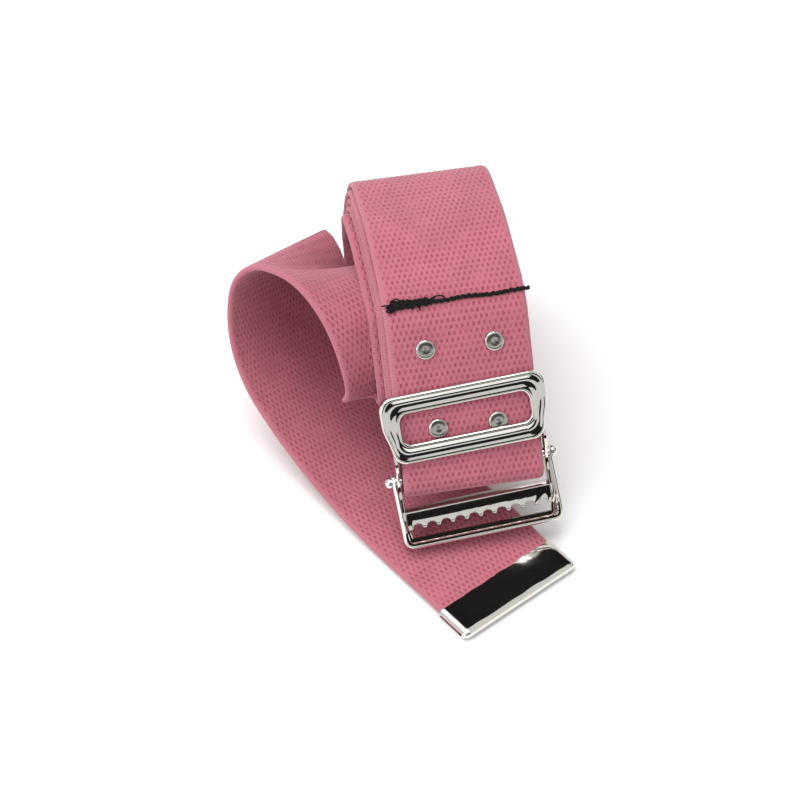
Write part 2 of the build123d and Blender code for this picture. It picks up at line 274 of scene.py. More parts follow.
def joined_frames(first, last, steps):
    """Frames on a smooth curve between two frames."""
    reach = (last[0] - first[0]).length
    frames = []
    for i in range(steps + 1):
        t = i / steps
        a = 2 * t**3 - 3 * t**2 + 1
        b = t**3 - 2 * t**2 + t
        c = 3 * t**2 - 2 * t**3
        d = t**3 - t**2
        point = first[0] * a + first[1] * (b * reach) + last[0] * c + last[1] * (d * reach)
        along = (last[0] - first[0]) * (6 * t - 6 * t**2)
        along = along + first[1] * ((3 * t**2 - 4 * t + 1) * reach) + last[1] * ((3 * t**2 - 2 * t) * reach)
        along.normalize()
        across = first[2] * (1 - t) + last[2] * t
        across = (across - along * across.dot(along)).normalized()
        frames.append((point, along, across))
    return frames


def belt_frames():
    """Frames along the whole belt, doubled end first and tip last."""
    corners, radii = flat_route()
    plane = rounded(corners, radii)
    flat = []
    for before, after in zip(plane, plane[1:]):
        if math.dist(before, after) < 1e-6:
            continue
        d = unit(before, after)
        point = Vector((ROLL_LEFT, FOLD_Y + before[0], before[1]))
        flat.append((point, Vector((0, d[0], d[1])), Vector((1, 0, 0))))
    yaw = math.radians(TIP_YAW)
    across = Vector((math.cos(yaw), math.sin(yaw), 0))
    along = Vector((-math.sin(yaw), math.cos(yaw), 0))
    mouth = along * (TIP_LENGTH / 2) - across * (WIDTH / 2) + Vector((0, 0, TIP_WALL + THICK / 2))
    start = mouth - along * TIP_OVERLAP
    free = span_frames(start, along, across, [(TIP_OVERLAP, 0.0, 0.0)] + SPANS)
    end = plane[-1]
    d = unit(end, plane[-2])
    last = (Vector((ROLL_LEFT, FOLD_Y + end[0], end[1])), Vector((0, d[0], d[1])), Vector((1, 0, 0)))
    free = free[:-1] + joined_frames(free[-1], last, 24)
    free.reverse()
    return flat, [(p, -a, w) for p, a, w in free]


def even_frames(frames, step_at):
    """Frames (point, heading, width direction, distance) spaced by step_at(curvature)."""
    distance = [0.0]
    for (a, _, _), (b, _, _) in zip(frames, frames[1:]):
        distance.append(distance[-1] + (b - a).length)
    result = []
    at = 0.0
    k = 0
    while at < distance[-1]:
        while k < len(distance) - 2 and distance[k + 1] < at:
            k += 1
        span = max(1e-9, distance[k + 1] - distance[k])
        t = (at - distance[k]) / span
        first, second = frames[k], frames[k + 1]
        along = first[1].lerp(second[1], t).normalized()
        across = first[2].lerp(second[2], t)
        across = (across - along * across.dot(along)).normalized()
        result.append((first[0].lerp(second[0], t), along, across, at))
        ahead = frames[min(k + 6, len(frames) - 1)]
        bend = first[1].angle(ahead[1], 0.0) / max(0.5, (ahead[0] - first[0]).length)
        at += step_at(bend)
    return result, distance[-1]


# ---- mesh helpers ----------------------------------------------------------------------------------
def new_object(name, bm):
    mesh = bpy.data.meshes.new(name)
    bm.to_mesh(mesh)
    bm.free()
    obj = bpy.data.objects.new(name, mesh)
    bpy.context.collection.objects.link(obj)
    return obj


def smooth(obj, angle=40.0):
    """Smooth shading with creases kept sharper than the angle."""
    mesh = obj.data
    for face in mesh.polygons:
        face.use_smooth = True
    bm = bmesh.new()
    bm.from_mesh(mesh)
    limit = math.radians(angle)
    for edge in bm.edges:
        if len(edge.link_faces) == 2:
            edge.smooth = edge.calc_face_angle(0.0) < limit
    bm.to_mesh(mesh)
    bm.free()


def ring_grid(bm, rows, ring, place):
    """A closed band: rows go round the piece and the ring goes round its section."""
    made = bmesh.ops.create_grid(bm, x_segments=ring, y_segments=rows, size=1.0)["verts"]
    for vert in made:
        column = round((vert.co.x + 1) / 2 * ring) % ring
        row = round((vert.co.y + 1) / 2 * rows) % rows
        vert.co = place(row, column)
    bmesh.ops.remove_doubles(bm, verts=made, dist=1e-7)


def wrapped_grid(bm, rows, ring, place, uv_at=None):
    """A tube of rows x ring quads from a grid, its vertices set by place(row, column)."""
    made = bmesh.ops.create_grid(bm, x_segments=ring, y_segments=rows - 1, size=1.0)["verts"]
    index = {}
    for vert in made:
        column = round((vert.co.x + 1) / 2 * ring)
        row = round((vert.co.y + 1) / 2 * (rows - 1))
        index[vert] = (row, column)
    faces = {f for v in made for f in v.link_faces}
    if uv_at:
        layer = bm.loops.layers.uv.active
        for face in faces:
            for loop in face.loops:
                loop[layer].uv = uv_at(*index[loop.vert])
    for vert, (row, column) in index.items():
        vert.co = place(row, column % ring)
    bmesh.ops.remove_doubles(bm, verts=made, dist=1e-7)
    kept = [v for v in made if v.is_valid]
    edges = list({e for v in kept for e in v.link_edges if e.is_boundary})
    if edges:
        bmesh.ops.holes_fill(bm, edges=edges, sides=0)


def tube(bm, points, radius, sides=8):
    """A round cord through points."""
    headings = []
    for i in range(len(points)):
        a = points[max(0, i - 1)]
        b = points[min(len(points) - 1, i + 1)]
        headings.append((b - a).normalized())
    side = headings[0].orthogonal().normalized()
    rings = []
    for heading in headings:
        side = (side - heading * side.dot(heading)).normalized()
        rings.append((side.copy(), heading.cross(side)))

    def place(row, column):
        turn = 2 * math.pi * column / sides
        u, v = rings[row]
        size = radius(row) if callable(radius) else radius
        return points[row] + (u * math.cos(turn) + v * math.sin(turn)) * size

    wrapped_grid(bm, len(points), sides, place)


# ---- shaders ---------------------------------------------------------------------------------------
class Shade:
    """Small helper that adds and joins shader nodes."""

    def __init__(self, tree):
        self.tree = tree

    def node(self, kind, **settings):
        made = self.tree.nodes.new(kind)
        for key, value in settings.items():
            setattr(made, key, value)
        return made

    def link(self, output, node_input):
        self.tree.links.new(output, node_input)

    def math(self, operation, a, b=None, c=None, clamp=False):
        made = self.node("ShaderNodeMath", operation=operation, use_clamp=clamp)
        for socket, value in zip(made.inputs, (a, b, c)):
            if value is None:
                continue
            if isinstance(value, (int, float)):
                socket.default_value = value
            else:
                self.link(value, socket)
        return made.outputs[0]

    def mix(self, factor, a, b):
        made = self.node("ShaderNodeMix", data_type="RGBA")
        for socket, value in ((made.inputs[0], factor), (made.inputs[6], a), (made.inputs[7], b)):
            if isinstance(value, tuple):
                socket.default_value = value
            elif isinstance(value, (int, float)):
                socket.default_value = value
            else:
                self.link(value, socket)
        return made.outputs[2]

    def step(self, value, low, high):
        made = self.node("ShaderNodeMapRange", interpolation_type="SMOOTHSTEP")
        self.link(value, made.inputs[0])
        made.inputs[1].default_value = low
        made.inputs[2].default_value = high
        return made.outputs[0]

    def noise(self, vector, scale, detail=2.0):
        made = self.node("ShaderNodeTexNoise")
        self.link(vector, made.inputs["Vector"])
        made.inputs["Scale"].default_value = scale
        made.inputs["Detail"].default_value = detail
        return made.outputs["Fac"]


def new_group(name, inputs, outputs):
    group = bpy.data.node_groups.new(name, "ShaderNodeTree")
    for label, kind in inputs:
        group.interface.new_socket(label, in_out="INPUT", socket_type=kind)
    for label, kind in outputs:
        group.interface.new_socket(label, in_out="OUTPUT", socket_type=kind)
    shade = Shade(group)
    return group, shade, shade.node("NodeGroupInput"), shade.node("NodeGroupOutput")


def weave_group():
    """Plain heavy weave: staggered little pits between the yarns, and a closer band at each selvage.

    Strip is the webbing's own map, where one unit is MAP_UNIT: x across and y along.
    """
    inputs = [("Strip", "NodeSocketVector"), ("Place", "NodeSocketVector")]
    outputs = [(label, "NodeSocketFloat") for label in ("Pits", "Height", "Selvage", "Mottle")]
    group, s, given, result = new_group("Webbing weave", inputs, outputs)
    apart = s.node("ShaderNodeSeparateXYZ")
    s.link(given.outputs["Strip"], apart.inputs[0])
    wander = s.noise(given.outputs["Place"], 700.0, 2.0)
    drift = s.math("MULTIPLY", s.math("SUBTRACT", wander, 0.5), 0.55)
    across = s.math("ADD", s.math("MULTIPLY", apart.outputs[0], MAP_UNIT), drift)
    along = s.math("ADD", s.math("MULTIPLY", apart.outputs[1], MAP_UNIT), drift)
    row = s.math("DIVIDE", along, WEAVE_ALONG)
    lane = s.math("MULTIPLY", s.math("FLOORED_MODULO", s.math("FLOOR", row), 2.0), 0.5)
    column = s.math("ADD", s.math("DIVIDE", across, WEAVE_ACROSS), lane)
    in_row = s.math("ABSOLUTE", s.math("SUBTRACT", s.math("FRACT", row), 0.5))
    in_column = s.math("ABSOLUTE", s.math("SUBTRACT", s.math("FRACT", column), 0.5))
    long_way = s.step(in_row, 0.42, 0.14)
    short_way = s.step(in_column, 0.29, 0.05)
    pit = s.math("MULTIPLY", long_way, short_way)
    uneven = s.noise(given.outputs["Place"], 260.0, 3.0)
    pit = s.math("MULTIPLY", pit, s.math("MULTIPLY_ADD", s.step(uneven, 0.25, 0.6), 0.6, 0.4))
    edge = s.math("ABSOLUTE", s.math("SUBTRACT", across, WIDTH / 2))
    band = s.step(edge, 23.3, 23.9)
    body = s.math("SUBTRACT", 1.0, band)
    pit = s.math("MULTIPLY", pit, body)
    yarn = s.math("SINE", s.math("MULTIPLY", across, 2 * math.pi / 1.0))
    weft = s.math("SINE", s.math("MULTIPLY", along, 2 * math.pi / 1.15))
    ribs = s.math("MULTIPLY", weft, s.math("MULTIPLY", band, 0.22))
    slanted = s.math("ADD", across, s.math("MULTIPLY", along, 0.6))
    twist = s.math("SINE", s.math("MULTIPLY", slanted, 2 * math.pi / 0.45))
    fine = s.math("MULTIPLY", twist, 0.07)
    height = s.math("SUBTRACT", s.math("MULTIPLY", s.math("MULTIPLY", yarn, 0.12), body), pit)
    height = s.math("ADD", s.math("ADD", height, ribs), fine)
    fuzz = s.noise(given.outputs["Place"], 2600.0, 2.0)
    height = s.math("ADD", height, s.math("MULTIPLY", s.math("SUBTRACT", fuzz, 0.5), 0.35))
    s.link(pit, result.inputs["Pits"])
    s.link(height, result.inputs["Height"])
    s.link(band, result.inputs["Selvage"])
    s.link(s.noise(given.outputs["Place"], 90.0, 4.0), result.inputs["Mottle"])
    return group


def wear_group():
    """Fine rubs and faint smears on plated metal."""
    sockets = [("Haze", "NodeSocketFloat"), ("Height", "NodeSocketFloat")]
    group, s, given, result = new_group("Plating wear", [("Place", "NodeSocketVector")], sockets)
    stretch = s.node("ShaderNodeMapping")
    s.link(given.outputs["Place"], stretch.inputs["Vector"])
    stretch.inputs["Scale"].default_value = (1.0, 6.0, 6.0)
    rub = s.noise(stretch.outputs[0], 900.0, 3.0)
    smear = s.noise(given.outputs["Place"], 70.0, 3.0)
    s.link(s.math("MULTIPLY", s.step(rub, 0.5, 0.75), s.step(smear, 0.35, 0.7)), result.inputs["Haze"])
    s.link(s.noise(given.outputs["Place"], 140.0, 2.0), result.inputs["Height"])
    return group


def start_material(name):
    material = bpy.data.materials.new(name)
    material.use_nodes = True
    shade = Shade(material.node_tree)
    return material, shade, material.node_tree.nodes["Principled BSDF"]


def webbing_material(colour, pit_shade_colour):
    material, s, principled = start_material("Pink cotton webbing")
    strip = s.node("ShaderNodeUVMap", uv_map="UVMap")
    place = s.node("ShaderNodeTexCoord")
    weave = s.node("ShaderNodeGroup", node_tree=weave_group())
    s.link(strip.outputs["UV"], weave.inputs["Strip"])
    s.link(place.outputs["Object"], weave.inputs["Place"])
    pale = tuple(min(1.0, c * 1.05) for c in colour[:3]) + (1.0,)
    deep = tuple(c * 0.94 for c in colour[:3]) + (1.0,)
    greyed = (colour[0] * 0.94, colour[1] * 1.12, colour[2] * 1.08, 1.0)
    cloth = s.mix(s.step(weave.outputs["Mottle"], 0.3, 0.7), deep, pale)
    cloth = s.mix(s.math("MULTIPLY", weave.outputs["Selvage"], 0.6), cloth, greyed)
    # The pits are painted darker with the pit colour: painted shade in the recesses between the yarns.
    cloth = s.mix(s.math("MULTIPLY", weave.outputs["Pits"], 0.8), cloth, pit_shade_colour)
    s.link(cloth, principled.inputs["Base Color"])
    principled.inputs["Roughness"].default_value = 0.92
    principled.inputs["Specular IOR Level"].default_value = 0.15
    principled.inputs["Sheen Weight"].default_value = 0.35
    principled.inputs["Sheen Roughness"].default_value = 0.5
    principled.inputs["Sheen Tint"].default_value = (1.0, 0.78, 0.8, 1.0)
    bump = s.node("ShaderNodeBump")
    bump.inputs["Strength"].default_value = 0.75
    bump.inputs["Distance"].default_value = 0.00035
    s.link(weave.outputs["Height"], bump.inputs["Height"])
    s.link(bump.outputs[0], principled.inputs["Normal"])
    return material


def plated_material(name, colour, rough, wear, dent=0.00002):
    material, s, principled = start_material(name)
    place = s.node("ShaderNodeTexCoord")
    marks = s.node("ShaderNodeGroup", node_tree=wear)
    s.link(place.outputs["Object"], marks.inputs["Place"])
    dull = tuple(c * 0.8 for c in colour[:3]) + (1.0,)
    s.link(s.mix(marks.outputs["Haze"], colour, dull), principled.inputs["Base Color"])
    principled.inputs["Metallic"].default_value = 1.0
    s.link(s.math("MULTIPLY_ADD", marks.outputs["Haze"], 0.16, rough), principled.inputs["Roughness"])
    bump = s.node("ShaderNodeBump")
    bump.inputs["Strength"].default_value = 0.5
    bump.inputs["Distance"].default_value = dent
    s.link(marks.outputs["Height"], bump.inputs["Height"])
    s.link(bump.outputs[0], principled.inputs["Normal"])
    return material


def thread_material():
    material, s, principled = start_material("Black sewing thread")
    place = s.node("ShaderNodeTexCoord")
    grain = s.noise(place.outputs["Object"], 3200.0, 3.0)
    black = s.mix(grain, (0.002, 0.002, 0.002, 1.0), (0.012, 0.010, 0.011, 1.0))
    s.link(black, principled.inputs["Base Color"])
    principled.inputs["Roughness"].default_value = 0.85
    principled.inputs["Specular IOR Level"].default_value = 0.25
    bump = s.node("ShaderNodeBump")
    bump.inputs["Strength"].default_value = 0.6
    bump.inputs["Distance"].default_value = 0.0001
    s.link(grain, bump.inputs["Height"])
    s.link(bump.outputs[0], principled.inputs["Normal"])
    return material


def floor_material(colour):
    material, s, principled = start_material("White sweep")
    place = s.node("ShaderNodeTexCoord")
    faint = s.noise(place.outputs["Object"], 3.0, 2.0)
    shade = tuple(c * 0.99 for c in colour[:3]) + (1.0,)
    s.link(s.mix(faint, colour, shade), principled.inputs["Base Color"])
    principled.inputs["Roughness"].default_value = 0.9
    principled.inputs["Specular IOR Level"].default_value = 0.1
    return material


# ---- settings --------------------------------------------------------------------------------------
class WebbingSettings(bpy.types.PropertyGroup):
    row_pitch: bpy.props.FloatProperty(
        name="Row pitch", description="Distance between rows of the weave", default=0.0023, unit="LENGTH"
    )
    pit_depth: bpy.props.FloatProperty(
        name="Pit depth",
        description="How deep the pits between the yarns are",
        default=0.00016,
        unit="LENGTH",
    )
    columns: bpy.props.IntProperty(
        name="Columns", description="Steps across each face of the webbing", default=50, min=8
    )
    slip: bpy.props.FloatProperty(
        name="Slip",
        description="How far each inner turn has slipped to the left",
        default=0.0010,
        unit="LENGTH",
    )
    colour: bpy.props.FloatVectorProperty(
        name="Colour",
        description="Colour of the cotton",
        default=(0.44, 0.128, 0.172, 1.0),
        size=4,
        subtype="COLOR",
    )
    # Painted shade: a darker colour laid into the pits between the yarns.
    pit_shade_colour: bpy.props.FloatVectorProperty(
        name="Pit shade colour",
        description="Painted shade in the pits",
        default=(0.25, 0.036, 0.062, 1.0),
        size=4,
        subtype="COLOR",
    )


class StageSettings(bpy.types.PropertyGroup):
    lens: bpy.props.FloatProperty(
        name="Lens", description="Focal length of the camera", default=125.7, unit="CAMERA"
    )
    world: bpy.props.FloatProperty(
        name="Surround", description="Brightness of the white surround", default=0.8
    )
    key: bpy.props.FloatProperty(
        name="Key light", description="Power of the large light above", default=9.0, unit="POWER"
    )
    floor: bpy.props.FloatVectorProperty(
        name="Floor", description="Colour of the floor", default=(0.9, 0.9, 0.9, 1.0), size=4, subtype="COLOR"
    )


# ---- the belt --------------------------------------------------------------------------------------
def belt_rows(settings):
    flat, free = belt_frames()
    frames = flat + free
    pitch = settings.row_pitch / MM

    def step_at(bend):
        return pitch if bend < 0.085 else pitch / 2

    rows, length = even_frames(frames, step_at)
    flat_length = sum((b[0] - a[0]).length for a, b in zip(flat, flat[1:]))
    return rows, length, flat_length


class GAITBELT_OT_webbing(bpy.types.Operator):
    """Adds the whole webbing as one woven strip, from its doubled end to the metal tip"""

    bl_idname = "gaitbelt.webbing"
    bl_label = "Webbing"

    def execute(self, context):
        settings = context.scene.gaitbelt_webbing
        rows, length, flat_length = belt_rows(settings)
        columns = settings.columns
        ring = 2 * (columns + 1) + 2
        pitch = settings.row_pitch / MM
        depth = settings.pit_depth / MM
        half = THICK / 2
        slip = settings.slip / MM

        def lane(column):
            """Side (1 top, -1 underside, 0 selvage) and distance across for a ring column."""
            if column <= columns:
                return 1, column / columns
            if column == columns + 1:
                return 0, 1.0
            if column <= 2 * columns + 2:
                return -1, 1.0 - (column - columns - 2) / columns
            return 0, 0.0

        def place(row, column):
            point, along, across, at = rows[row]
            up = across.cross(along)
            side, part = lane(column)
            beat = math.cos(math.pi * at / (pitch / 2))
            nap = noise.noise(Vector((at * 0.9, part * 40.0, side * 7.0)))
            if side == 0:
                out = 0.06 * beat + 0.12 * nap
                reach = part * WIDTH + (out if part > 0.5 else -out)
                lift = 0.0
            else:
                reach = 0.35 + part * (WIDTH - 0.7)
                lift = half
                if part in (0.0, 1.0):
                    lift = half - 0.45
                    reach += 0.05 * beat * (1 if part > 0.5 else -1)
                else:
                    index = round(at / pitch)
                    on_row = abs(at / pitch - index) < 0.1
                    if on_row and (round(part * columns) + index) % 2 == 0 and 0.04 < part < 0.96:
                        lift -= depth
                    lift += 0.04 * nap
                lift *= side
            shift = 0.0
            if at < flat_length:
                turn = max(0.0, min(SLIP_TURNS, (at - SLIP_START) / SLIP_RUN))
                fade = max(0.0, min(1.0, (flat_length - at) / SLIP_FADE))
                shift = -slip * turn * (1.0 + 0.5 * math.sin(turn * 2.3)) * fade
            return (point + across * (reach + shift) + up * lift) * MM

        def uv_at(row, column):
            side, part = lane(column % ring)
            if side:
                across = 0.35 + part * (WIDTH - 0.7)
            else:
                across = part * WIDTH
            return (across / MAP_UNIT, rows[row][3] / MAP_UNIT)

        bm = bmesh.new()
        bm.loops.layers.uv.new("UVMap")
        wrapped_grid(bm, len(rows), ring, place, uv_at)
        bmesh.ops.recalc_face_normals(bm, faces=bm.faces)
        belt = new_object("webbing", bm)
        smooth(belt, 70.0)
        belt.data.materials.append(webbing_material(tuple(settings.colour), tuple(settings.pit_shade_colour)))
        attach(belt, "belt")
        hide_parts("webbing_doubled_end", "webbing_roll", "webbing_ring", "webbing_tail")
        return {"FINISHED"}


def seam_frame():
    """Point on the outer ply's face at the seam's left end, and its up-the-belt and outward directions."""
    shoulder = ROLL_CORNERS[0]
    into_top = unit(shoulder[:2], ROLL_CORNERS[1][:2])
    leg_up = unit(leg_point(0), shoulder[:2])
    turn = math.acos(leg_up[0] * into_top[0] + leg_up[1] * into_top[1])
    radius = shoulder[2]
    start = math.dist(leg_point(0), shoulder[:2]) - radius * math.tan(turn / 2)
    base = math.atan2(leg_up[1], leg_up[0])
    centre = (leg_up[0] * start + leg_up[1] * radius, FOLD_Z + leg_up[1] * start - leg_up[0] * radius)

    def at(x, distance, proud):
        angle = (distance - start) / radius
        normal = (math.cos(base + math.pi / 2 - angle), math.sin(base + math.pi / 2 - angle))
        face = radius + THICK / 2 + proud
        return Vector((x, FOLD_Y + centre[0] + normal[0] * face, centre[1] + normal[1] * face)) * MM

    return at


class GAITBELT_OT_seam(bpy.types.Operator):
    """Adds the black seam across the doubled end, with its lumpy back-tack and loose ends"""

    bl_idname = "gaitbelt.seam"
    bl_label = "Seam"

    def execute(self, context):
        at = seam_frame()
        rng = random.Random(7)
        right = ROLL_LEFT + WIDTH
        bm = bmesh.new()

        def stitched(x0, x1, y0, lift, wander, radius, swing=0.25):
            points = []
            phase = rng.random() * 6
            count = int(abs(x1 - x0) / 0.3)
            for i in range(count + 1):
                x = x0 + (x1 - x0) * i / count
                y = y0 + wander * math.sin(x * 0.33 + phase) + 0.16 * math.sin(x * 2.9 + phase)
                y += swing * noise.noise(Vector((x * 0.8, phase, 0)))
                dip = 0.16 * math.cos(x * 2.9)
                points.append(at(x, y, lift + dip))
            for side in (-1, 1):
                ply = []
                for i, point in enumerate(points):
                    turn = i * 0.75 + side * math.pi / 2
                    ply.append(point + Vector((0, math.sin(turn), math.cos(turn))) * radius * 0.42 * MM)
                tube(bm, ply, radius * 0.62 * MM, 6)

        stitched(ROLL_LEFT + 12, right + 1.4, SEAM_AT, 0.35, 0.22, 0.78)
        for k in range(6):
            x0 = ROLL_LEFT + 1.0 + rng.random() * 2.5
            x1 = ROLL_LEFT + 14 + rng.random() * 4.5
            stitched(x0, x1, SEAM_AT + (k - 2.5) * 0.36, 0.35 + 0.22 * (k % 3), 0.3, 0.62, 0.7)
        ends = [
            [(0.6, 68.6, 0.5), (2.2, 69.3, 1.2), (4.4, 71.2, 1.5), (5.8, 70.6, 1.0), (7.0, 69.2, 0.8)],
            [(3.5, 68.8, 0.8), (1.8, 68.2, 1.0), (0.6, 67.4, 0.7), (2.6, 66.9, 0.6), (4.0, 67.4, 0.5)],
            [(-0.6, 69.6, 0.1), (1.2, 69.4, 0.8), (3.6, 69.0, 1.1), (6.0, 68.4, 1.0)],
            [(11.0, 68.6, 0.7), (12.2, 67.6, 0.8), (12.8, 66.4, 0.6)],
            [(16.5, 69.5, 0.6), (18.2, 70.3, 0.9), (20.6, 70.5, 0.7), (22.0, 69.9, 0.4)],
        ]
        for knots in ends:
            points = []
            for a, b in zip(knots, knots[1:]):
                for i in range(6):
                    t = i / 6
                    x, y, lift = (p + (q - p) * t for p, q in zip(a, b))
                    points.append(at(ROLL_LEFT + x, y, lift))
            points.append(at(ROLL_LEFT + knots[-1][0], knots[-1][1], knots[-1][2]))
            for _ in range(2):
                eased = [(a + b * 2 + c) / 4 for a, b, c in zip(points, points[1:], points[2:])]
                points = [points[0], *eased, points[-1]]
            tube(bm, points, 0.27 * MM, 6)
        bmesh.ops.recalc_face_normals(bm, faces=bm.faces)
        seam = new_object("seam", bm)
        smooth(seam, 60.0)
        seam.data.materials.append(thread_material())
        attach(seam, "belt")
        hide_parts("seam_thread", "seam_back_tack")
        return {"FINISHED"}


# ---- buckle, pin, rivets and tip --------------------------------------------------------------------
def buckle_matrix(lift=0.0):
    """Metres on the pin's middle: x along the pin, y up the leg, z out of the webbing's face."""
    there = PLY_GAP + (LOOP_DEPTH - PLY_GAP) * (PINCH_AT - PIN_UP) / (PINCH_AT - THICK / 2)
    back, height = leg_point(PIN_UP, there / 2)
    skew = math.radians(BUCKLE_SKEW)
    up = Vector((0, *UP_LEG))
    x_dir = Vector((1, 0, 0)) * math.cos(skew) + up * math.sin(skew)
    z_dir = Vector((0, -INTO_LEG[0], -INTO_LEG[1]))
    y_dir = z_dir.cross(x_dir)
    turn = Matrix((x_dir, y_dir, z_dir)).transposed().to_4x4()
    move = Matrix.Translation(Vector((ROLL_LEFT + WIDTH / 2, FOLD_Y + back, height)) * MM)
    return move @ turn @ Matrix.Rotation(math.radians(-lift), 4, "X") @ Matrix.Scale(MM, 4)


def outline(half, low, high, radius):
    """Points round a rectangle with round corners, counter-clockwise from its lower right."""
    points = []
    centres = [(half - radius, low + radius, -90), (half - radius, high - radius, 0)]
    centres += [(-half + radius, high - radius, 90), (-half + radius, low + radius, 180)]
    for k, (x, y, first) in enumerate(centres):
        for i in range(9):
            turn = math.radians(first + 90 * i / 8)
            points.append((x + radius * math.cos(turn), y + radius * math.sin(turn)))
        nx, ny, after = centres[(k + 1) % 4]
        turn = math.radians(after)
        end = (nx + radius * math.cos(turn), ny + radius * math.sin(turn))
        here = points[-1]
        for i in range(1, 7):
            t = i / 7
            points.append((here[0] + (end[0] - here[0]) * t, here[1] + (end[1] - here[1]) * t))
    return points


def plate(bm, points, low, high, at, bevel=0.22):
    """A flat plate from its outline, between two heights, with softened edges."""
    verts = [bm.verts.new(at(x, y, low)) for x, y in points]
    face = bm.faces.new(verts)
    made = bmesh.ops.extrude_face_region(bm, geom=[face])["geom"]
    top = [v for v in made if isinstance(v, bmesh.types.BMVert)]
    lift = at(0, 0, high) - at(0, 0, low)
    bmesh.ops.translate(bm, verts=top, vec=lift)
    rims = [e for f in (face, *[g for g in made if isinstance(g, bmesh.types.BMFace)]) for e in f.edges]
    bmesh.ops.bevel(
        bm, geom=list(set(rims)), offset=bevel, offset_type="OFFSET", segments=2, profile=0.5,
        affect="EDGES", material=-1,
    )


def add_loop(bm):
    outer = outline(LOOP_WIDTH / 2, LOOP_BOTTOM, LOOP_TOP, 5.2)
    inner = outline(WINDOW_WIDTH / 2, WINDOW_BOTTOM, WINDOW_TOP, 3.4)
    shaped = []
    for x, y in outer:
        t = max(0.0, min(1.0, (y - 11.0) / 11.0))
        share = (LOOP_WAIST + (LOOP_WIDTH - LOOP_WAIST) * t * t * (3 - 2 * t)) / LOOP_WIDTH
        shaped.append((x * share, y))

    def place(row, column):
        part, height = LOOP_SECTION[column]
        (ax, ay), (bx, by) = inner[row], shaped[row]
        side = max(0.0, min(1.0, (abs(bx) - 26.0) / 2.0))
        if height <= -1.2:
            height *= 1.0 + 0.6 * side
        return Vector((ax + (bx - ax) * part, ay + (by - ay) * part, LOOP_OUT + height))

    ring_grid(bm, len(outer), len(LOOP_SECTION), place)


def add_ears(bm):
    shape = [
        (13.6, 6.2), (13.6, 4.4), (9.5, 1.6), (6.0, -1.2), (3.0, -2.9), (0.0, -3.3), (-4.0, -3.4),
        (-8.5, -3.9), (-11.0, -3.5), (-12.8, -1.6), (-14.4, 0.6), (-15.4, 2.1), (-15.2, 3.2), (-13.0, 3.4),
        (-10.2, 3.4), (-6.5, 2.9), (-2.0, 2.9), (1.6, 3.8), (4.4, 6.0), (8.0, 6.6),
    ]
    half = EAR_INSIDE / 2
    plate(bm, shape, half, half + SHEET, lambda y, z, x: Vector((x, y, z)))
    plate(bm, shape, -half - SHEET, -half, lambda y, z, x: Vector((x, y, z)))


def add_jaw(bm):
    half = EAR_INSIDE / 2
    edge = [(half, -JAW_EDGE - 0.2), (-half, -JAW_EDGE - 0.2), (-half, -TOOTH_REACH)]
    for i in range(TOOTH_COUNT - 1):
        middle = (i - (TOOTH_COUNT - 2) / 2) * TOOTH_PITCH
        for k in range(9):
            turn = math.pi * (1 - k / 8)
            dip = TOOTH_NOTCH * math.sin(turn)
            edge.append((middle + TOOTH_NOTCH * math.cos(turn), -TOOTH_REACH + dip))
    edge.append((half, -TOOTH_REACH))
    lean = math.tan(math.radians(JAW_LEAN))
    plate(bm, edge, JAW_OUT - SHEET, JAW_OUT, lambda x, y, z: Vector((x, y, z - (y + JAW_EDGE) * lean)), 0.25)
    bend = [(-JAW_EDGE, -3.6), (-JAW_EDGE, 2.2), (-JAW_EDGE - 0.25, 3.0), (-JAW_EDGE - 0.7, 3.45)]
    bend += [(-JAW_EDGE - 1.3, 3.5), (-JAW_EDGE - 1.3, 2.2), (-JAW_EDGE - 1.0, 1.8), (-JAW_EDGE - 1.0, -3.6)]
    rows = 41

    def place(row, column):
        y, z = bend[column]
        x = -half + 2 * half * row / (rows - 1)
        bow = 0.12 * noise.noise(Vector((x * 0.12, 3.0, 0.0)))
        return Vector((x, y + bow, z))

    wrapped_grid(bm, rows, len(bend), place)


def add_bail(bm):
    half = BAIL_WIDTH / 2
    path = [(-half, 2.6), (-half, 2.3), (-half, 1.6), (-half, 0.6), (-half, -1.0)]
    path += [(-half, -1.0 - i * 2.0) for i in range(1, 10)]
    corner = 3.8
    for k in range(9):
        turn = math.radians(180 + 90 * k / 8)
        down = -BAIL_REACH + corner + corner * math.sin(turn)
        path.append((-half + corner + corner * math.cos(turn), down))
    left = list(path)
    middle = [(-half + corner + (2 * half - 2 * corner) * i / 24, -BAIL_REACH) for i in range(1, 24)]
    path = left + middle + [(-x, y) for x, y in reversed(left)]

    def place(row, column):
        a = Vector(path[max(0, row - 1)])
        b = Vector(path[min(len(path) - 1, row + 1)])
        heading = (b - a).normalized()
        inward = Vector((-heading.y, heading.x))
        here = Vector(path[row])
        depth, height = BAIL_SECTION[column]
        base = max(0.0, min(1.0, (-here.y - 13.0) / 7.0))
        if depth > 1.1:
            depth = 1.1 + (depth - 1.1) * base
        arm = 1.0 - max(0.0, min(1.0, (-here.y - 3.0) / 16.0))
        height = height * (1 - arm) + (height - 1.2) * 0.84 * arm
        if here.y > 0:
            height *= math.sqrt(max(0.04, 1 - (here.y / 2.65) ** 2))
        spot = here + inward * depth
        return Vector((spot.x, spot.y, height))

    wrapped_grid(bm, len(path), len(BAIL_SECTION), place)


def turned_piece(bm, profile, sides=32):
    """A round piece about local Z from (radius, height) points."""

    def place(row, column):
        radius, height = profile[row]
        turn = 2 * math.pi * column / sides
        return Vector((radius * math.cos(turn), radius * math.sin(turn), height))

    wrapped_grid(bm, len(profile), sides, place)


